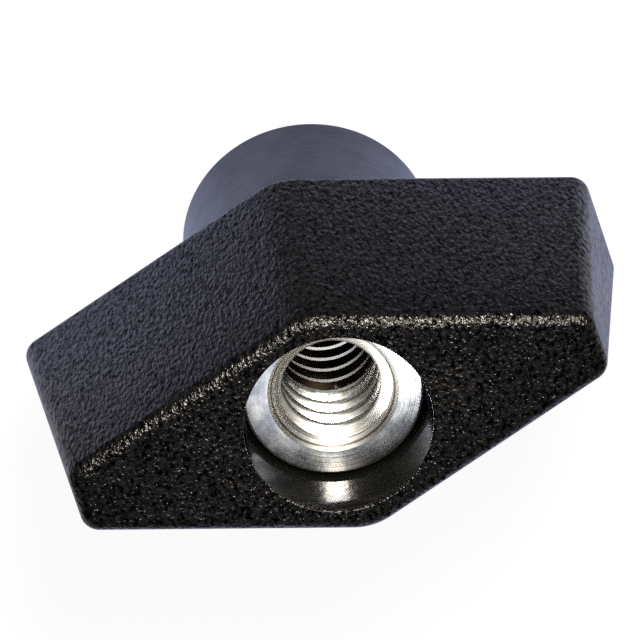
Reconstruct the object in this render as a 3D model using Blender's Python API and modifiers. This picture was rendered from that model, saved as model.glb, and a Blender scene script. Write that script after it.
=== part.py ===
"""A wing nut: a black moulded body with two wings and a collar, round a threaded steel bush.

+Z runs along the thread, out of the recess. The origin is the centre of the bore at the clamping
face, which is the bush's end face under the collar. +X runs along the wings.
"""

import math

import bmesh
import bpy
from mathutils import Matrix, Vector

MM = 0.001

# Heights, from the clamping face up
BUSH_PROUD = 0.2 * MM
COLLAR_HEIGHT = 8.7 * MM
WING_THICKNESS = 13.8 * MM
RECESS_DEPTH = 3.85 * MM

# The wings' outline at the collar side, and how far the draft brings the outer face in
WING_HALF_LENGTH = 15.0 * MM
WING_HALF_WIDTH = 7.9 * MM
WING_SIDE_SLOPE = 0.33
END_INSET = 1.2 * MM
SIDE_INSET = 1.65 * MM
RIDGE_RADIUS = 3.2 * MM
CORNER_RADIUS = 1.0 * MM
EDGE_ROUNDING = 0.66 * MM
ARC_STEP = math.radians(9.0)
EDGE_SEGMENTS = 5

# Collar
COLLAR_RADIUS = 6.4 * MM
COLLAR_EDGE = 0.3 * MM
COLLAR_ROOT = 0.35 * MM

# Recess and the well that holds the bush
MOUTH_RADIUS = 4.8 * MM
MOUTH_ROUNDING = 0.12 * MM
LIP_START = math.radians(105.0)
WELL_RADIUS = 4.74 * MM

# Bush
BUSH_RADIUS = 4.58 * MM
BUSH_CHAMFER = 0.12 * MM
COUNTERSINK_RADIUS = 3.33 * MM
KEY_GROOVE_RADIUS = 4.0 * MM
KEY_GROOVE_WIDTH = 2.0 * MM
KEY_CLEARANCE = 0.25 * MM
KNURL_COUNT = 24
KNURL_DEPTH = 0.25 * MM
KNURL_END_MARGIN = 1.5 * MM

# Internal thread, 1/4 inch with 20 turns to the inch, 60 degrees, right-hand
THREAD_MAJOR_RADIUS = 3.175 * MM
THREAD_BORE_RADIUS = 2.49 * MM
THREAD_PITCH = 1.27 * MM
THREAD_FLANK = math.radians(30.0)
THREAD_STEPS_PER_TURN = 28
THREAD_CUTTER_REACH = 0.15 * MM

ROUND_SEGMENTS = 60
OVERSHOOT = 0.5 * MM
WELD = 0.001 * MM

COLLAR_END = BUSH_PROUD
WING_BACK = COLLAR_END + COLLAR_HEIGHT
WING_FRONT = WING_BACK + WING_THICKNESS
BUSH_TOP = WING_FRONT - RECESS_DEPTH
KEY_MIDDLE = BUSH_TOP / 2


def clear_scene():
    for old in list(bpy.data.objects):
        bpy.data.objects.remove(old, do_unlink=True)


def new_collection(name):
    collection = bpy.data.collections.new(name)
    bpy.context.scene.collection.children.link(collection)
    return collection


def material(name, colour, roughness, metallic):
    made = bpy.data.materials.new(name)
    made.use_nodes = True
    shader = made.node_tree.nodes["Principled BSDF"]
    shader.inputs["Base Color"].default_value = (*colour, 1.0)
    shader.inputs["Roughness"].default_value = roughness
    shader.inputs["Metallic"].default_value = metallic
    return made


def mesh_object(name, bm, collection):
    """Turn a bmesh into an object in the collection, with its faces pointing out."""
    bmesh.ops.recalc_face_normals(bm, faces=bm.faces)
    mesh = bpy.data.meshes.new(name)
    bm.to_mesh(mesh)
    bm.free()
    made = bpy.data.objects.new(name, mesh)
    collection.objects.link(made)
    return made


def turned(name, profile, collection):
    """Turn a profile of (radius, height) points about Z, from the top down its outer side."""
    mesh = bpy.data.meshes.new(name)
    points = [(radius, 0.0, height) for radius, height in profile]
    edges = [(i, i + 1) for i in range(len(points) - 1)]
    if profile[0][0] > 0.0:
        edges.append((len(points) - 1, 0))
    mesh.from_pydata(points, edges, [])
    made = bpy.data.objects.new(name, mesh)
    collection.objects.link(made)
    screw = made.modifiers.new("Turn", "SCREW")
    screw.steps = ROUND_SEGMENTS
    screw.render_steps = ROUND_SEGMENTS
    screw.use_merge_vertices = True
    screw.merge_threshold = WELD
    return made


def arc(centre, radius, start, end, steps):
    """Points along an arc about a centre, from the start angle to the end angle."""
    turns = [start + (end - start) * i / steps for i in range(steps + 1)]
    return [(centre[0] + radius * math.cos(t), centre[1] + radius * math.sin(t)) for t in turns]


def boolean(target, tool, operation):
    cut = target.modifiers.new(tool.name, "BOOLEAN")
    cut.operation = operation
    cut.solver = "EXACT"
    cut.object = tool
    tool.hide_render = True
    tool.display_type = "WIRE"


def rounded_corner(before, corner, after, radius):
    """The arc that rounds one corner of an outline, as points in the outline's order."""
    back = (before - corner).normalized()
    ahead = (after - corner).normalized()
    opening = back.angle(ahead)
    centre = corner + (back + ahead).normalized() * radius / math.sin(opening / 2)
    first = corner + back * radius / math.tan(opening / 2)
    turn = math.pi - opening
    steps = math.ceil(turn / ARC_STEP)
    spoke = first - centre
    return [centre + Matrix.Rotation(turn * i / steps, 2) @ spoke for i in range(steps + 1)]


def wing_outline(half_length, half_width):
    """The wings' hexagon, anticlockwise: widest at the middle, with a flat at each end."""
    end_half_width = half_width - WING_SIDE_SLOPE * half_length
    corners = [
        (Vector((half_length, -end_half_width)), CORNER_RADIUS),
        (Vector((half_length, end_half_width)), CORNER_RADIUS),
        (Vector((0.0, half_width)), RIDGE_RADIUS),
        (Vector((-half_length, end_half_width)), CORNER_RADIUS),
        (Vector((-half_length, -end_half_width)), CORNER_RADIUS),
        (Vector((0.0, -half_width)), RIDGE_RADIUS),
    ]
    outline = []
    for i, (corner, radius) in enumerate(corners):
        before = corners[i - 1][0]
        after = corners[(i + 1) % len(corners)][0]
        outline += rounded_corner(before, corner, after, radius)
    return outline


def build_wings(collection):
    """The drafted wings: the collar-side outline extruded up to the smaller outer outline."""
    back = wing_outline(WING_HALF_LENGTH, WING_HALF_WIDTH)
    front = wing_outline(WING_HALF_LENGTH - END_INSET, WING_HALF_WIDTH - SIDE_INSET)
    bm = bmesh.new()
    back_verts = [bm.verts.new((p.x, p.y, WING_BACK)) for p in back]
    back_face = bm.faces.new(back_verts)
    lifted = bmesh.ops.extrude_face_region(bm, geom=[back_face], use_keep_orig=True)
    front_face = next(item for item in lifted["geom"] if isinstance(item, bmesh.types.BMFace))
    placed = {vert.co.to_tuple(7): point for vert, point in zip(back_verts, front)}
    for vert in front_face.verts:
        point = placed[vert.co.to_tuple(7)]
        vert.co = (point.x, point.y, WING_FRONT)
    wings = mesh_object("wing_body", bm, collection)
    edges = wings.modifiers.new("Round edges", "BEVEL")
    edges.width = EDGE_ROUNDING
    edges.segments = EDGE_SEGMENTS
    edges.limit_method = "ANGLE"
    edges.angle_limit = math.radians(45.0)
    return wings


def build_collar(collection):
    """The collar, turned, with a rounded clamping edge and a flared root at the wings."""
    edge_centre = (COLLAR_RADIUS - COLLAR_EDGE, COLLAR_END + COLLAR_EDGE)
    root_top = COLLAR_ROOT + OVERSHOOT
    profile = [
        (0.0, WING_BACK + OVERSHOOT),
        (COLLAR_RADIUS + root_top, WING_BACK + OVERSHOOT),
        (COLLAR_RADIUS, WING_BACK - COLLAR_ROOT),
        *arc(edge_centre, COLLAR_EDGE, 0.0, -math.pi / 2, EDGE_SEGMENTS),
        (0.0, COLLAR_END),
    ]
    return turned("collar", profile, collection)


def build_well(collection):
    """The space for the bush, with the recess above it and the ring that keys into its groove."""
    rounding_centre = (MOUTH_RADIUS + MOUTH_ROUNDING, WING_FRONT - MOUTH_ROUNDING)
    lip = arc(rounding_centre, MOUTH_ROUNDING, LIP_START, math.pi, EDGE_SEGMENTS)
    lip_top = (MOUTH_RADIUS + MOUTH_ROUNDING + OVERSHOOT, WING_FRONT + OVERSHOOT)
    key_half_height = KEY_GROOVE_WIDTH / 2 - KEY_CLEARANCE
    key_radius = KEY_GROOVE_RADIUS + KEY_CLEARANCE
    profile = [
        (0.0, WING_FRONT + OVERSHOOT),
        lip_top,
        *lip,
        (WELL_RADIUS, BUSH_TOP),
        (WELL_RADIUS, KEY_MIDDLE + key_half_height),
        (key_radius, KEY_MIDDLE + key_half_height),
        (key_radius, KEY_MIDDLE - key_half_height),
        (WELL_RADIUS, KEY_MIDDLE - key_half_height),
        (WELL_RADIUS, COLLAR_END - OVERSHOOT),
        (0.0, COLLAR_END - OVERSHOOT),
    ]
    return turned("well", profile, collection)


def build_body(parts, cutters):
    body = build_wings(parts)
    boolean(body, build_collar(cutters), "UNION")
    boolean(body, build_well(cutters), "DIFFERENCE")
    body.data.materials.append(material("black_plastic", (0.018, 0.018, 0.021), 0.55, 0.0))
    return body


def build_bush_blank(collection):
    """The bush before knurling and threading: a tube, chamfered, countersunk and grooved."""
    countersink = COUNTERSINK_RADIUS - THREAD_BORE_RADIUS
    groove_top = KEY_MIDDLE + KEY_GROOVE_WIDTH / 2
    groove_bottom = KEY_MIDDLE - KEY_GROOVE_WIDTH / 2
    profile = [
        (COUNTERSINK_RADIUS, BUSH_TOP),
        (BUSH_RADIUS - BUSH_CHAMFER, BUSH_TOP),
        (BUSH_RADIUS, BUSH_TOP - BUSH_CHAMFER),
        (BUSH_RADIUS, groove_top),
        (KEY_GROOVE_RADIUS, groove_top),
        (KEY_GROOVE_RADIUS, groove_bottom),
        (BUSH_RADIUS, groove_bottom),
        (BUSH_RADIUS, BUSH_CHAMFER),
        (BUSH_RADIUS - BUSH_CHAMFER, 0.0),
        (COUNTERSINK_RADIUS, 0.0),
        (THREAD_BORE_RADIUS, countersink),
        (THREAD_BORE_RADIUS, BUSH_TOP - countersink),
    ]
    return turned("threaded_bush", profile, collection)


def build_knurl(collection):
    """The V grooves of a straight knurl: square prisms, each with one edge towards the axis."""
    length = BUSH_TOP - 2 * KNURL_END_MARGIN
    prism_radius = 2 * KNURL_DEPTH
    prism_centre = BUSH_RADIUS - KNURL_DEPTH + prism_radius
    bm = bmesh.new()
    for i in range(KNURL_COUNT):
        turn = Matrix.Rotation(2 * math.pi * i / KNURL_COUNT, 4, "Z")
        place = turn @ Matrix.Translation((prism_centre, 0.0, BUSH_TOP / 2))
        bmesh.ops.create_cone(
            bm,
            cap_ends=True,
            segments=4,
            radius1=prism_radius,
            radius2=prism_radius,
            depth=length,
            matrix=place,
        )
    return mesh_object("knurl", bm, collection)


def build_thread_groove(collection):
    """The thread's groove: a flat-rooted V swept along the helix, past both ends of the bush."""
    root_half = THREAD_PITCH / 16
    inner_radius = THREAD_BORE_RADIUS - THREAD_CUTTER_REACH
    inner_half = root_half + (THREAD_MAJOR_RADIUS - inner_radius) * math.tan(THREAD_FLANK)
    turns = math.ceil(BUSH_TOP / THREAD_PITCH) + 2
    start = -THREAD_PITCH
    corners = [
        (inner_radius, start - inner_half),
        (THREAD_MAJOR_RADIUS, start - root_half),
        (THREAD_MAJOR_RADIUS, start + root_half),
        (inner_radius, start + inner_half),
    ]
    bm = bmesh.new()
    section = bm.faces.new([bm.verts.new((radius, 0.0, height)) for radius, height in corners])
    bmesh.ops.spin(
        bm,
        geom=[section, *section.edges, *section.verts],
        cent=(0.0, 0.0, 0.0),
        axis=(0.0, 0.0, 1.0),
        dvec=(0.0, 0.0, THREAD_PITCH / THREAD_STEPS_PER_TURN),
        angle=2 * math.pi * turns,
        steps=turns * THREAD_STEPS_PER_TURN,
        use_duplicate=False,
    )
    return mesh_object("thread_groove", bm, collection)


def build_bush(parts, cutters):
    bush = build_bush_blank(parts)
    boolean(bush, build_knurl(cutters), "DIFFERENCE")
    boolean(bush, build_thread_groove(cutters), "DIFFERENCE")
    bush.data.materials.append(material("turned_steel", (0.62, 0.62, 0.60), 0.22, 1.0))
    return bush


def smooth_round_faces(piece):
    """Shade the curved faces smooth and keep the real edges sharp."""
    evaluated = piece.evaluated_get(bpy.context.evaluated_depsgraph_get())
    mesh = bpy.data.meshes.new_from_object(evaluated)
    mesh.name = piece.name
    piece.modifiers.clear()
    piece.data = mesh
    mesh.shade_smooth()
    mesh.set_sharp_from_angle(angle=math.radians(30.0))


def main():
    clear_scene()
    parts = new_collection("wing_nut")
    cutters = new_collection("cutters")
    for piece in (build_body(parts, cutters), build_bush(parts, cutters)):
        smooth_round_faces(piece)


main()
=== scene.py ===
"""The looks of the wing nut: its grained moulding, its turned steel bush, and the studio round it."""

import math

import bmesh
import bpy
from mathutils import Matrix, Quaternion, Vector


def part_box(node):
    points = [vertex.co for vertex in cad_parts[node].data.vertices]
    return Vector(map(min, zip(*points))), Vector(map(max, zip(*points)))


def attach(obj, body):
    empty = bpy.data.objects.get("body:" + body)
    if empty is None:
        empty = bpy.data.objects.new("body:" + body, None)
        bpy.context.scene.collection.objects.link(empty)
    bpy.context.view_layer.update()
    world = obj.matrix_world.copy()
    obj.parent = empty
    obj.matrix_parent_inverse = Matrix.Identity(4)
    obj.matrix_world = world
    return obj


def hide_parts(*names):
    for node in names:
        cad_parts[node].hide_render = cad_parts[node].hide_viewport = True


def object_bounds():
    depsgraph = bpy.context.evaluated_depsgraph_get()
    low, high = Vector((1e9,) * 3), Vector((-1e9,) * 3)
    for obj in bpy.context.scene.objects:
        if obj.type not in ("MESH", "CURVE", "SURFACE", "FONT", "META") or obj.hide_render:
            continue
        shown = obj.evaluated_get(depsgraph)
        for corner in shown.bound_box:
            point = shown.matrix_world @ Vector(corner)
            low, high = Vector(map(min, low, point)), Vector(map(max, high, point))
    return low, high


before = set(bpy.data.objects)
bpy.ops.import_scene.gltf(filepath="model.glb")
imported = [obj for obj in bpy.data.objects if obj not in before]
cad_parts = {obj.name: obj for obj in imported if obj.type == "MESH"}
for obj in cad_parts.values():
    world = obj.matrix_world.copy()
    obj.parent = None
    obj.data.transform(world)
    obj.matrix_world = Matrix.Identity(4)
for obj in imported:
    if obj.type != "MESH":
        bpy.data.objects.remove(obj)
CAD_LOW, CAD_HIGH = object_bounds()

MM = 0.001

# Heights, from the frame's boxes
BODY_LOW, BODY_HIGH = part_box("wing_body")
BUSH_LOW, BUSH_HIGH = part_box("threaded_bush")
WING_DEPTH = 13.8 * MM
WING_FRONT = BODY_HIGH.z
WING_BACK = WING_FRONT - WING_DEPTH
COLLAR_END = BODY_LOW.z
BUSH_TOP = BUSH_HIGH.z
BUSH_END = BUSH_LOW.z

# Wings
WING_HALF_LENGTH = 15.0 * MM
WING_HALF_WIDTH = 7.9 * MM
WING_SIDE_SLOPE = 0.33
END_INSET = 1.2 * MM
SIDE_INSET = 1.65 * MM
RIDGE_RADIUS = 3.2 * MM
CORNER_RADIUS = 1.0 * MM
EDGE_ROUNDING = 0.66 * MM
EDGE_ANGLE = math.radians(45.0)

# Collar and recess
COLLAR_RADIUS = 6.4 * MM
COLLAR_EDGE = 0.3 * MM
COLLAR_ROOT = 0.35 * MM
MOUTH_RADIUS = 4.8 * MM
MOUTH_ROUNDING = 0.12 * MM
MOUTH_ARC_START = math.radians(105.0)
WELL_RADIUS = 4.74 * MM

# Bush
BUSH_RADIUS = (BUSH_HIGH.x - BUSH_LOW.x) / 2
BUSH_CHAMFER = 0.12 * MM
COUNTERSINK_RADIUS = 3.33 * MM
THREAD_MAJOR_RADIUS = 3.175 * MM
THREAD_BORE_RADIUS = 2.49 * MM
THREAD_PITCH = 1.27 * MM
THREAD_FLANK = math.radians(30.0)
THREAD_ROOT = THREAD_PITCH / 8
THREAD_OVERCUT = 0.15 * MM

# Fineness of the visible meshes
ROUND_SEGMENTS = 180
THREAD_STEPS_PER_TURN = 90
ARC_STEP = math.radians(3.0)
EDGE_SEGMENTS = 10
OVERSHOOT = 0.5 * MM
WELD = 0.0002 * MM
HAIRLINE = 0.00005 * MM
SHARP_ANGLE = math.radians(28.0)
LEVEL_FACE = 0.95

# Noise scales, per metre
PEBBLES = 5600.0
PITS = 5200.0
GLINTS = 3800.0
PATCHES = 420.0
CLOUDS = 520.0
COLLAR_LINES = 4200.0
RECESS_LINES = 9000.0
STEEL_LINES = 16000.0
TOOL_MARKS = 5200.0
WEAR = 1100.0
BORE_SHADE_MOTTLE = 2600.0

# The wings' grain: drawn out along their depth, and weaker on the walls than on the front face
GRAIN_STRETCH = (1.0, 0.8, 0.48)
PIT_OFFSET = (0.1, 0.2, 0.3)
GRAIN_DEPTH = 0.168 * MM
WALL_GRAIN = 0.56
FACE_GRAIN = 0.8

# Painted shade on the wings' sheen: it dims down the walls from the front edge, and towards the tips
SHADE_LOW = WING_FRONT - 4.5 * MM
SHADE_HIGH = WING_FRONT - 0.9 * MM
RIM_LOW = WING_FRONT - 0.62 * MM
RIM_HIGH = WING_FRONT - 0.5 * MM
TIPS_START = 6 * MM
TIPS_END = 14 * MM

# Painted shade deep in the bore, where the thread's flanks turn dark
BORE_SHADE_TOP = BUSH_TOP - 5.0 * MM
BORE_SHADE_FADE = 0.8 * MM
BORE_SHADE_WANDER = 0.6 * MM

# Camera, seen from above the recess and turned almost upside down
CAMERA_AZIMUTH = math.radians(-8.44)
CAMERA_ELEVATION = math.radians(64.34)
CAMERA_ROLL = math.radians(170.63)
CAMERA_DISTANCE = 1.0024
CAMERA_TARGET = Vector((-0.81 * MM, -5.89 * MM, WING_FRONT))
CAMERA_LENS = 1125.0

# The floor's light, as the nut sees it: a pool behind the nut, and a glow under the bore
POOL_CENTRE = (0.0, 70 * MM, 0.0)
POOL_RADIUS = 120 * MM
POOL_FALL = 4.0
POOL_LEAN = 0.13
POOL_START = -18 * MM
POOL_END = -6 * MM
POOL_STRENGTH = 0.78
POOL_COLOUR = (0.80, 0.88, 1.34, 1.0)
SIDES_START = 18 * MM
SIDES_END = 26 * MM
SIDES_COLOUR = (0.90, 0.92, 1.04, 1.0)
BORE_GLOW = 2.2
BORE_COLOUR = (1.0, 0.97, 0.9, 1.0)
FLOOR_HALF_SIZE = 3.0
FLOOR_GAP = 0.02 * MM
FLOOR_SHADE = (0.05, 0.05, 0.05, 1.0)

# The room: what the camera sees, and what the nut sees
SEEN = (0.95, 0.95, 0.95, 1.0)
ROOM_LOW = (0.01, 0.01, 0.01, 1.0)
ROOM_BEHIND = (0.16, 0.16, 0.16, 1.0)
ROOM_HIGH = (0.065, 0.06, 0.054, 1.0)
BUSH_LIGHT = (1.0, 1.0, 0.98)


# ---------------------------------------------------------------- shapes


def mesh_object(name, bm):
    """Turn a bmesh into an object in the scene, with its faces outwards."""
    bmesh.ops.recalc_face_normals(bm, faces=bm.faces)
    mesh = bpy.data.meshes.new(name)
    bm.to_mesh(mesh)
    bm.free()
    made = bpy.data.objects.new(name, mesh)
    bpy.context.scene.collection.objects.link(made)
    return made


def turned(name, profile):
    """Turn a profile of (radius, height) points about Z, from the top down its outer side."""
    mesh = bpy.data.meshes.new(name)
    points = [(radius, 0.0, height) for radius, height in profile]
    edges = [(i, i + 1) for i in range(len(points) - 1)]
    if profile[0][0] > 0.0:
        edges.append((len(points) - 1, 0))
    mesh.from_pydata(points, edges, [])
    made = bpy.data.objects.new(name, mesh)
    bpy.context.scene.collection.objects.link(made)
    screw = made.modifiers.new("Turn", "SCREW")
    screw.steps = ROUND_SEGMENTS
    screw.render_steps = ROUND_SEGMENTS
    screw.use_merge_vertices = True
    screw.merge_threshold = WELD
    return baked(made)


def baked(piece):
    """Apply a piece's modifiers."""
    evaluated = piece.evaluated_get(bpy.context.evaluated_depsgraph_get())
    mesh = bpy.data.meshes.new_from_object(evaluated)
    mesh.name = piece.name
    piece.modifiers.clear()
    piece.data = mesh
    return piece


def arc(centre, radius, start, end, steps):
    """Points along an arc of a profile."""
    turns = [start + (end - start) * i / steps for i in range(steps + 1)]
    return [(centre[0] + radius * math.cos(t), centre[1] + radius * math.sin(t)) for t in turns]


def combine(target, tool, operation):
    """Cut or join a tool into a target, keep the tool's material on its faces, and remove the tool."""
    cut = target.modifiers.new(tool.name, "BOOLEAN")
    cut.operation = operation
    cut.solver = "EXACT"
    cut.material_mode = "TRANSFER"
    cut.object = tool
    baked(target)
    bpy.data.objects.remove(tool, do_unlink=True)


def rounded_corner(before, corner, after, radius):
    """The arc that rounds one corner of an outline, as points in the outline's order."""
    back = (before - corner).normalized()
    ahead = (after - corner).normalized()
    opening = back.angle(ahead)
    centre = corner + (back + ahead).normalized() * radius / math.sin(opening / 2)
    spoke = corner + back * radius / math.tan(opening / 2) - centre
    turn = math.pi - opening
    steps = math.ceil(turn / ARC_STEP)
    return [centre + Matrix.Rotation(turn * i / steps, 2) @ spoke for i in range(steps + 1)]


def wing_outline(half_length, half_width):
    """The wings' hexagon, anticlockwise: widest at the middle, with a flat at each end."""
    end_half_width = half_width - WING_SIDE_SLOPE * half_length
    corners = [
        (Vector((half_length, -end_half_width)), CORNER_RADIUS),
        (Vector((half_length, end_half_width)), CORNER_RADIUS),
        (Vector((0.0, half_width)), RIDGE_RADIUS),
        (Vector((-half_length, end_half_width)), CORNER_RADIUS),
        (Vector((-half_length, -end_half_width)), CORNER_RADIUS),
        (Vector((0.0, -half_width)), RIDGE_RADIUS),
    ]
    outline = []
    for i, (corner, radius) in enumerate(corners):
        before = corners[i - 1][0]
        after = corners[(i + 1) % len(corners)][0]
        outline += rounded_corner(before, corner, after, radius)
    return outline


def make_wings():
    """The wings: a drafted hexagon, narrower at the front, with every edge rounded."""
    back = wing_outline(WING_HALF_LENGTH, WING_HALF_WIDTH)
    front = wing_outline(WING_HALF_LENGTH - END_INSET, WING_HALF_WIDTH - SIDE_INSET)
    bm = bmesh.new()
    lower = [bm.verts.new((p.x, p.y, WING_BACK)) for p in back]
    upper = [bm.verts.new((p.x, p.y, WING_FRONT)) for p in front]
    bm.faces.new(reversed(lower))
    bm.faces.new(upper)
    for i in range(len(lower)):
        j = (i + 1) % len(lower)
        bm.faces.new((lower[i], lower[j], upper[j], upper[i]))
    wings = mesh_object("wing_moulding", bm)
    edges = wings.modifiers.new("Round edges", "BEVEL")
    edges.width = EDGE_ROUNDING
    edges.segments = EDGE_SEGMENTS
    edges.limit_method = "ANGLE"
    edges.angle_limit = EDGE_ANGLE
    return baked(wings)


def make_collar():
    """The collar, with a rounded edge at its end and a small flare into the wings' back."""
    edge_centre = (COLLAR_RADIUS - COLLAR_EDGE, COLLAR_END + COLLAR_EDGE)
    return turned(
        "collar",
        [
            (0.0, WING_BACK + OVERSHOOT),
            (COLLAR_RADIUS + COLLAR_ROOT + OVERSHOOT, WING_BACK + OVERSHOOT),
            (COLLAR_RADIUS, WING_BACK - COLLAR_ROOT),
            *arc(edge_centre, COLLAR_EDGE, 0.0, -math.pi / 2, EDGE_SEGMENTS),
            (0.0, COLLAR_END),
        ],
    )


def make_well():
    """The hole through the moulding as a cutter: recess wall and bush seat, with a rounded mouth."""
    rounding_centre = (MOUTH_RADIUS + MOUTH_ROUNDING, WING_FRONT - MOUTH_ROUNDING)
    return turned(
        "well",
        [
            (0.0, WING_FRONT + OVERSHOOT),
            (MOUTH_RADIUS + MOUTH_ROUNDING + OVERSHOOT, WING_FRONT + OVERSHOOT),
            *arc(rounding_centre, MOUTH_ROUNDING, MOUTH_ARC_START, math.pi, EDGE_SEGMENTS),
            (WELL_RADIUS, BUSH_TOP),
            (WELL_RADIUS, COLLAR_END - OVERSHOOT),
            (0.0, COLLAR_END - OVERSHOOT),
        ],
    )


def make_bush_blank():
    """The bush before its thread: a tube with chamfered ends, countersunk at both."""
    countersink = COUNTERSINK_RADIUS - THREAD_BORE_RADIUS
    return turned(
        "bush_turning",
        [
            (COUNTERSINK_RADIUS, BUSH_TOP),
            (BUSH_RADIUS - BUSH_CHAMFER, BUSH_TOP),
            (BUSH_RADIUS, BUSH_TOP - BUSH_CHAMFER),
            (BUSH_RADIUS, BUSH_END + BUSH_CHAMFER),
            (BUSH_RADIUS - BUSH_CHAMFER, BUSH_END),
            (COUNTERSINK_RADIUS, BUSH_END),
            (THREAD_BORE_RADIUS, BUSH_END + countersink),
            (THREAD_BORE_RADIUS, BUSH_TOP - countersink),
        ],
    )


def make_thread_groove():
    """The thread as a cutter: a trapezoid swept up a helix, past both ends of the bush."""
    root_half = THREAD_ROOT / 2
    inner_radius = THREAD_BORE_RADIUS - THREAD_OVERCUT
    inner_half = root_half + (THREAD_MAJOR_RADIUS - inner_radius) * math.tan(THREAD_FLANK)
    turns = math.ceil((BUSH_TOP - BUSH_END) / THREAD_PITCH) + 2
    start = BUSH_END - THREAD_PITCH
    corners = [
        (inner_radius, start - inner_half),
        (THREAD_MAJOR_RADIUS, start - root_half),
        (THREAD_MAJOR_RADIUS, start + root_half),
        (inner_radius, start + inner_half),
    ]
    bm = bmesh.new()
    section = bm.faces.new([bm.verts.new((radius, 0.0, height)) for radius, height in corners])
    bmesh.ops.spin(
        bm,
        geom=[section, *section.edges, *section.verts],
        cent=(0.0, 0.0, 0.0),
        axis=(0.0, 0.0, 1.0),
        dvec=(0.0, 0.0, THREAD_PITCH / THREAD_STEPS_PER_TURN),
        angle=2 * math.pi * turns,
        steps=turns * THREAD_STEPS_PER_TURN,
        use_duplicate=False,
    )
    return mesh_object("thread_groove", bm)


def clear_hairlines(piece):
    """Merge the hairline faces that the cuts leave where two facets nearly meet."""
    bm = bmesh.new()
    bm.from_mesh(piece.data)
    bmesh.ops.remove_doubles(bm, verts=bm.verts, dist=HAIRLINE)
    bm.to_mesh(piece.data)
    bm.free()


def finish_shading(piece):
    """Smooth the curved faces, keep real edges sharp, and let the large flat faces lead the normals."""
    piece.data.shade_smooth()
    piece.data.set_sharp_from_angle(angle=SHARP_ANGLE)
    normals = piece.modifiers.new("Weighted normals", "WEIGHTED_NORMAL")
    normals.mode = "FACE_AREA"
    normals.weight = 100
    normals.keep_sharp = True


# ---------------------------------------------------------------- materials


class Nodes:
    """Shorthand for building the node tree of a material or a world."""

    def __init__(self, owner):
        owner.use_nodes = True
        self.owner = owner
        self.tree = owner.node_tree
        self.shader = self.tree.nodes.get("Principled BSDF")

    def add(self, kind, inputs=None, **settings):
        node = self.tree.nodes.new(kind)
        for key, value in settings.items():
            setattr(node, key, value)
        for key, value in (inputs or {}).items():
            self.set(node, key, value)
        return node

    def set(self, node, key, value):
        if isinstance(value, bpy.types.NodeSocket):
            self.tree.links.new(value, node.inputs[key])
        else:
            node.inputs[key].default_value = value

    def shade(self, key, value):
        self.set(self.shader, key, value)

    def position(self):
        return self.add("ShaderNodeTexCoord").outputs["Object"]

    def axis(self, vector, letter):
        return self.add("ShaderNodeSeparateXYZ", {"Vector": vector}).outputs[letter]

    def height(self):
        return self.axis(self.position(), "Z")

    def vector(self, operation, first, second):
        made = self.add("ShaderNodeVectorMath", {0: first, 1: second}, operation=operation)
        return made.outputs["Vector"]

    def measure(self, operation, first, second=(0.0, 0.0, 0.0)):
        made = self.add("ShaderNodeVectorMath", {0: first, 1: second}, operation=operation)
        return made.outputs["Value"]

    def math(self, operation, first, second=0.0):
        made = self.add("ShaderNodeMath", {0: first, 1: second}, operation=operation)
        return made.outputs["Value"]

    def noise(self, vector, scale, detail=2.0, roughness=0.5):
        made = self.add(
            "ShaderNodeTexNoise",
            {"Vector": vector, "Scale": scale, "Detail": detail, "Roughness": roughness},
        )
        return made.outputs["Fac"]

    def spread(self, value, low, high, out_low, out_high, shape="LINEAR"):
        """Map a value from one range to another, held at the ends."""
        made = self.add(
            "ShaderNodeMapRange",
            {
                "Value": value,
                "From Min": low,
                "From Max": high,
                "To Min": out_low,
                "To Max": out_high,
            },
            interpolation_type=shape,
        )
        return made.outputs["Result"]

    def blend(self, factor, first, second):
        made = self.add(
            "ShaderNodeMix", {"Factor": factor, "A": first, "B": second}, data_type="RGBA"
        )
        return made.outputs["Result"]

    def bump(self, height, distance, strength=1.0, below=None):
        inputs = {"Height": height, "Distance": distance, "Strength": strength}
        if below is not None:
            inputs["Normal"] = below
        return self.add("ShaderNodeBump", inputs).outputs["Normal"]

    def radius(self):
        """The distance from the Z axis."""
        return self.measure("LENGTH", self.vector("MULTIPLY", self.position(), (1.0, 1.0, 0.0)))

    def rings(self, scale, detail=3.0):
        """Noise that varies only with height and radius, so it draws lines round the Z axis."""
        place = {"X": self.radius(), "Y": 0.0, "Z": self.height()}
        lines = self.add("ShaderNodeCombineXYZ", place).outputs["Vector"]
        return self.noise(lines, scale, detail, 0.6)


def new_material(name):
    return Nodes(bpy.data.materials.new(name))


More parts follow.
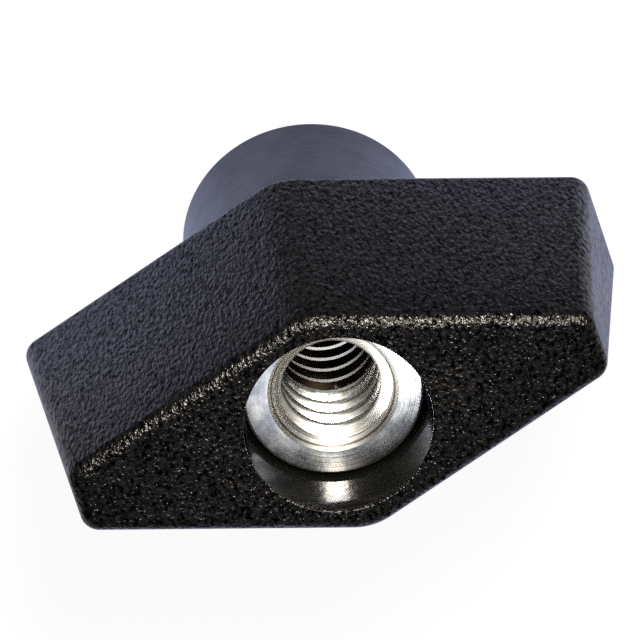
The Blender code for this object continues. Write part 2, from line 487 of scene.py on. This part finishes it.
def grained_plastic():
    """The wings: black plastic with a spark-eroded grain, whose deepest pits get painted shade in their
    colour and gloss.
    """
    painted_pit_shade = (0.0003, 0.0003, 0.0004, 1.0)
    skin_black = (0.003, 0.0029, 0.0038, 1.0)
    warm_glint = (1.0, 0.88, 0.74, 1.0)
    cool_glint = (0.94, 0.97, 1.0, 1.0)
    n = new_material("grained_black_plastic")
    place = n.position()
    where = n.vector("MULTIPLY", place, GRAIN_STRETCH)
    normal = n.add("ShaderNodeNewGeometry").outputs["Normal"]
    level = n.math("ABSOLUTE", n.axis(normal, "Z"))

    pebbles = n.noise(where, PEBBLES, n.spread(level, 0.3, 0.8, 1.0, 2.0), 0.55)
    pits = n.noise(n.vector("ADD", where, PIT_OFFSET), PITS, 1.0, 0.55)
    # Painted shade in the pits: their colour and gloss go fully dark on the front face and are kept at a
    # tenth on the walls
    outside_pit_shade = n.spread(pits, 0.32, 0.66, n.spread(level, 0.3, 0.8, 0.1, 0.0), 1.0)

    height = n.axis(place, "Z")
    along = n.math("ABSOLUTE", n.axis(place, "X"))
    # Painted shade on the gloss: weaker down the walls below the front edge, and along the front edge
    # towards the tips
    down_the_wall = n.spread(height, SHADE_LOW, SHADE_HIGH, 1.0, 0.6, "SMOOTHSTEP")
    rim = n.spread(height, RIM_LOW, RIM_HIGH, 0.0, 1.0)
    front = n.math("MULTIPLY", rim, n.spread(along, TIPS_START, TIPS_END, 1.0, 0.65))
    sheen_painted_dimming = n.math("MAXIMUM", down_the_wall, front)

    n.shade("Base Color", n.blend(outside_pit_shade, painted_pit_shade, skin_black))
    n.shade("Roughness", n.spread(n.noise(place, PATCHES, 3.0), 0.3, 0.7, 0.28, 0.35))
    n.shade("Specular IOR Level", n.math("MULTIPLY", n.math("MULTIPLY", outside_pit_shade, 0.9), sheen_painted_dimming))
    n.shade("Specular Tint", n.blend(n.noise(place, GLINTS, 1.0), warm_glint, cool_glint))
    strength = n.spread(level, 0.15, 0.5, WALL_GRAIN, FACE_GRAIN)
    n.shade("Normal", n.bump(pebbles, GRAIN_DEPTH, strength))
    return n.owner


def collar_plastic():
    """The collar: the same plastic with a smoother skin, turning lines and a rubbed, cloudy look."""
    dark = (0.003, 0.003, 0.004, 1.0)
    rubbed = (0.012, 0.012, 0.015, 1.0)
    n = new_material("collar_black_plastic")
    lines = n.rings(COLLAR_LINES, 4.0)
    clouds = n.noise(n.position(), CLOUDS, 5.0, 0.6)
    streaks = n.math(
        "MULTIPLY", n.spread(clouds, 0.3, 0.7, 0.3, 0.62), n.spread(lines, 0.25, 0.75, 0.7, 1.3)
    )
    towards_wings = n.spread(n.height(), COLLAR_END, COLLAR_END + 5 * MM, 0.6, 1.25)
    n.shade("Base Color", n.blend(clouds, dark, rubbed))
    n.shade("Roughness", n.spread(lines, 0.3, 0.7, 0.18, 0.4))
    n.shade("Specular IOR Level", n.math("MULTIPLY", streaks, towards_wings))
    n.shade("Normal", n.bump(lines, 0.016 * MM))
    return n.owner


def recess_plastic():
    """The recess wall: glossy where the core pin was polished."""
    dark = (0.0015, 0.0015, 0.0015, 1.0)
    light = (0.005, 0.005, 0.0045, 1.0)
    n = new_material("recess_black_plastic")
    lines = n.rings(RECESS_LINES)
    n.shade("Base Color", n.blend(lines, dark, light))
    n.shade("Roughness", n.spread(lines, 0.3, 0.7, 0.04, 0.09))
    n.shade("Specular IOR Level", 0.25)
    n.shade("Specular Tint", (1.0, 0.9, 0.72, 1.0))
    n.shade("Normal", n.bump(lines, 0.001 * MM))
    return n.owner


def faced_steel():
    """The bush's end faces: bright steel with concentric tool lines that draw the light into a fan."""
    worn = (0.40, 0.43, 0.49, 1.0)
    bright = (0.88, 0.88, 0.87, 1.0)
    n = new_material("faced_bright_steel")
    lines = n.rings(STEEL_LINES)
    wear = n.noise(n.position(), WEAR, 5.0, 0.6)
    n.shade("Base Color", n.blend(n.spread(wear, 0.38, 0.62, 0.0, 1.0), worn, bright))
    n.shade("Metallic", 1.0)
    n.shade("Roughness", n.spread(lines, 0.3, 0.7, 0.17, 0.3))
    n.shade("Anisotropic", 0.9)
    n.shade("Anisotropic Rotation", 0.25)
    tangent = n.add("ShaderNodeTangent", direction_type="RADIAL", axis="Z")
    n.shade("Tangent", tangent.outputs["Tangent"])
    n.shade("Normal", n.bump(wear, 0.018 * MM, 1.0, n.bump(lines, 0.001 * MM)))
    return n.owner


def satin_steel(n, lines, colour, line_depth):
    """Finish a steel whose fine lines vary its gloss."""
    n.shade("Base Color", colour)
    n.shade("Metallic", 1.0)
    n.shade("Roughness", n.spread(lines, 0.3, 0.7, 0.31, 0.44))
    n.shade("Normal", n.bump(lines, line_depth))
    return n.owner


def near_bore(n, start, end, at_bore):
    """A factor that rises from its value at the thread's crests to 1 a little further out."""
    return n.spread(n.radius(), THREAD_BORE_RADIUS + start, THREAD_BORE_RADIUS + end, at_bore, 1.0)


def turned_steel():
    """The countersinks, thread crests and outside: satin steel with dark lines left by the tool, and darker
    at the bore's edge.
    """
    dark_steel = (0.16, 0.13, 0.09, 1.0)
    n = new_material("turned_satin_steel")
    lines = n.rings(STEEL_LINES)
    unmarked_or_lit = n.spread(n.rings(TOOL_MARKS, 1.0), 0.36, 0.46, 0.0, 1.0)
    crest = n.math("LESS_THAN", n.radius(), THREAD_BORE_RADIUS + 0.01 * MM)
    edge = near_bore(n, 0.02 * MM, 0.12 * MM, 0.0)
    bright_share = n.math("MAXIMUM", crest, n.math("MULTIPLY", unmarked_or_lit, edge))
    bright = n.blend(lines, (0.55, 0.55, 0.55, 1.0), (0.78, 0.77, 0.75, 1.0))
    return satin_steel(n, lines, n.blend(bright_share, dark_steel, bright), 0.001 * MM)


def tapped_steel():
    """The thread's flanks: bright near the recess, with painted shade further down the bore, and darker
    along the crests.
    """
    n = new_material("tapped_steel_bore_shade")
    lines = n.rings(STEEL_LINES)
    shade_mottle = n.noise(n.position(), BORE_SHADE_MOTTLE, 3.0)
    wander = n.spread(shade_mottle, 0.3, 0.7, -BORE_SHADE_WANDER, BORE_SHADE_WANDER)
    # Painted shade: deeper in the bore, past a mottled edge, the flanks take a dark brownish colour
    unmarked_or_lit = n.spread(n.math("ADD", n.height(), wander), BORE_SHADE_TOP - BORE_SHADE_FADE, BORE_SHADE_TOP, 0.0, 1.0)
    bright_share = n.math("MULTIPLY", unmarked_or_lit, near_bore(n, 0.05 * MM, 0.12 * MM, 0.25))
    painted_bore_shade = n.blend(shade_mottle, (0.004, 0.003, 0.0015, 1.0), (0.015, 0.011, 0.006, 1.0))
    bright = n.blend(lines, (0.55, 0.54, 0.52, 1.0), (0.76, 0.75, 0.72, 1.0))
    return satin_steel(n, lines, n.blend(bright_share, painted_bore_shade, bright), 0.0008 * MM)


# ---------------------------------------------------------------- the studio


def direction(azimuth, elevation):
    """From the object towards a place; azimuth 0 is towards -Y, as for the camera."""
    flat = math.cos(elevation)
    return Vector((math.sin(azimuth) * flat, -math.cos(azimuth) * flat, math.sin(elevation)))


def add_camera():
    data = bpy.data.cameras.new("camera")
    data.lens = CAMERA_LENS
    data.clip_start = 0.1
    data.clip_end = 10.0
    camera = bpy.data.objects.new("camera", data)
    bpy.context.scene.collection.objects.link(camera)
    back = direction(CAMERA_AZIMUTH, CAMERA_ELEVATION)
    camera.location = CAMERA_TARGET + back * CAMERA_DISTANCE
    camera.rotation_mode = "QUATERNION"
    level = (-back).to_track_quat("-Z", "Y")
    camera.rotation_quaternion = level @ Quaternion((0.0, 0.0, 1.0), CAMERA_ROLL)
    bpy.context.scene.camera = camera


def add_softbox(name, azimuth, elevation, distance, width, height, power, colour, only=None):
    """A soft light; with `only`, it lights that piece and nothing else."""
    data = bpy.data.lights.new(name, "AREA")
    data.shape = "RECTANGLE"
    data.size = width
    data.size_y = height
    data.energy = power
    data.color = colour
    lamp = bpy.data.objects.new(name, data)
    bpy.context.scene.collection.objects.link(lamp)
    aim = Vector((0.0, 0.0, WING_FRONT / 2))
    back = direction(math.radians(azimuth), math.radians(elevation))
    lamp.location = aim + back * distance
    lamp.rotation_mode = "QUATERNION"
    lamp.rotation_quaternion = (-back).to_track_quat("-Z", "Y")
    lamp.visible_camera = False
    if only is not None:
        lit = bpy.data.collections.new(name)
        lit.objects.link(only)
        lamp.light_linking.receiver_collection = lit


def add_floor():
    """A plain pale floor: even to the camera, and to the nut brightest behind it and under its bore."""
    bm = bmesh.new()
    bmesh.ops.create_grid(bm, x_segments=1, y_segments=1, size=FLOOR_HALF_SIZE)
    floor = mesh_object("floor", bm)
    floor.location.z = CAD_LOW.z - FLOOR_GAP
    n = new_material("pale_floor")
    where = n.position()

    away = n.math("DIVIDE", n.measure("DISTANCE", where, POOL_CENTRE), POOL_RADIUS)
    fade = n.math("DIVIDE", 1.0, n.math("ADD", n.math("POWER", away, POOL_FALL), 1.0))
    along = n.measure("DOT_PRODUCT", where, (POOL_LEAN, 1.0, 0.0))
    behind = n.spread(along, POOL_START, POOL_END, 0.0, POOL_STRENGTH, "SMOOTHSTEP")
    pool = n.math("MULTIPLY", fade, behind)
    aside = n.spread(n.math("ABSOLUTE", n.axis(where, "X")), SIDES_START, SIDES_END, 0.0, 1.0)
    pool_colour = n.blend(aside, POOL_COLOUR, SIDES_COLOUR)

    in_bore = n.math("LESS_THAN", n.radius(), THREAD_BORE_RADIUS)
    glow = n.math("MULTIPLY", in_bore, BORE_GLOW)
    lit = n.blend(in_bore, pool_colour, BORE_COLOUR)
    seen = n.add("ShaderNodeLightPath").outputs["Is Camera Ray"]
    n.shade("Base Color", FLOOR_SHADE)
    n.shade("Roughness", 0.8)
    n.shade("Specular IOR Level", 0.0)
    n.shade("Emission Color", n.blend(seen, lit, SEEN))
    n.shade("Emission Strength", n.math("MAXIMUM", seen, n.math("MAXIMUM", pool, glow)))
    n.owner.cycles.emission_sampling = "NONE"
    floor.data.materials.append(n.owner)


def add_world():
    """Pale to the camera; to the nut, a dark room with a soft light above and behind."""
    world = bpy.data.worlds.new("studio")
    bpy.context.scene.world = world
    n = Nodes(world)
    where = n.add("ShaderNodeTexCoord").outputs["Generated"]
    behind = n.spread(n.axis(where, "Y"), 0.0, 0.6, 0.0, 1.0)
    above = n.spread(n.axis(where, "Z"), 0.3, 1.0, 0.0, 1.0)
    lit = n.blend(above, n.blend(behind, ROOM_LOW, ROOM_BEHIND), ROOM_HIGH)
    seen = n.add("ShaderNodeLightPath").outputs["Is Camera Ray"]
    background = n.tree.nodes["Background"]
    n.set(background, "Color", n.blend(seen, lit, SEEN))


# ---------------------------------------------------------------- the object


def build_body():
    """Wings and collar joined, then bored out; the face round the recess's mouth keeps the wings' grain."""
    body = make_wings()
    body.data.materials.append(grained_plastic())
    collar = make_collar()
    collar.data.materials.append(collar_plastic())
    well = make_well()
    well.data.materials.append(recess_plastic())
    combine(body, collar, "UNION")
    combine(body, well, "DIFFERENCE")
    for face in body.data.polygons:
        if face.center.z > WING_FRONT - MOUTH_ROUNDING:
            face.material_index = 0
    clear_hairlines(body)
    finish_shading(body)
    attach(body, "root")
    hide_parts("wing_body")


def build_bush():
    """The bush, threaded through, with its level end faces in the bright finish."""
    bush = make_bush_blank()
    bush.data.materials.append(turned_steel())
    groove = make_thread_groove()
    groove.data.materials.append(tapped_steel())
    combine(bush, groove, "DIFFERENCE")
    bush.data.materials.append(faced_steel())
    for face in bush.data.polygons:
        if abs(face.normal.z) > LEVEL_FACE:
            face.material_index = 2
    clear_hairlines(bush)
    finish_shading(bush)
    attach(bush, "root")
    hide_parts("threaded_bush")
    return bush


build_body()
bush = build_bush()
add_floor()
add_world()
add_softbox(
    "key",
    azimuth=-21.0,
    elevation=48.0,
    distance=0.6,
    width=0.14,
    height=0.2,
    power=8.8,
    colour=(1.0, 0.95, 0.86),
)
add_softbox(
    "bush_above",
    azimuth=172.0,
    elevation=64.0,
    distance=0.5,
    width=0.45,
    height=0.3,
    power=0.52,
    colour=(0.98, 0.99, 1.0),
    only=bush,
)
add_softbox(
    "bush_right",
    azimuth=124.0,
    elevation=40.0,
    distance=0.5,
    width=0.4,
    height=0.25,
    power=12.0,
    colour=BUSH_LIGHT,
    only=bush,
)
add_softbox(
    "bush_left",
    azimuth=-129.0,
    elevation=47.0,
    distance=0.5,
    width=0.4,
    height=0.25,
    power=0.2,
    colour=BUSH_LIGHT,
    only=bush,
)
add_camera()

# Denoising would smear the grain's glints, so stray sparkles are held down by clamping and blurring
scene = bpy.context.scene
scene.view_settings.view_transform = "Standard"
scene.cycles.use_denoising = False
scene.cycles.sample_clamp_indirect = 8.0
scene.cycles.blur_glossy = 4.0
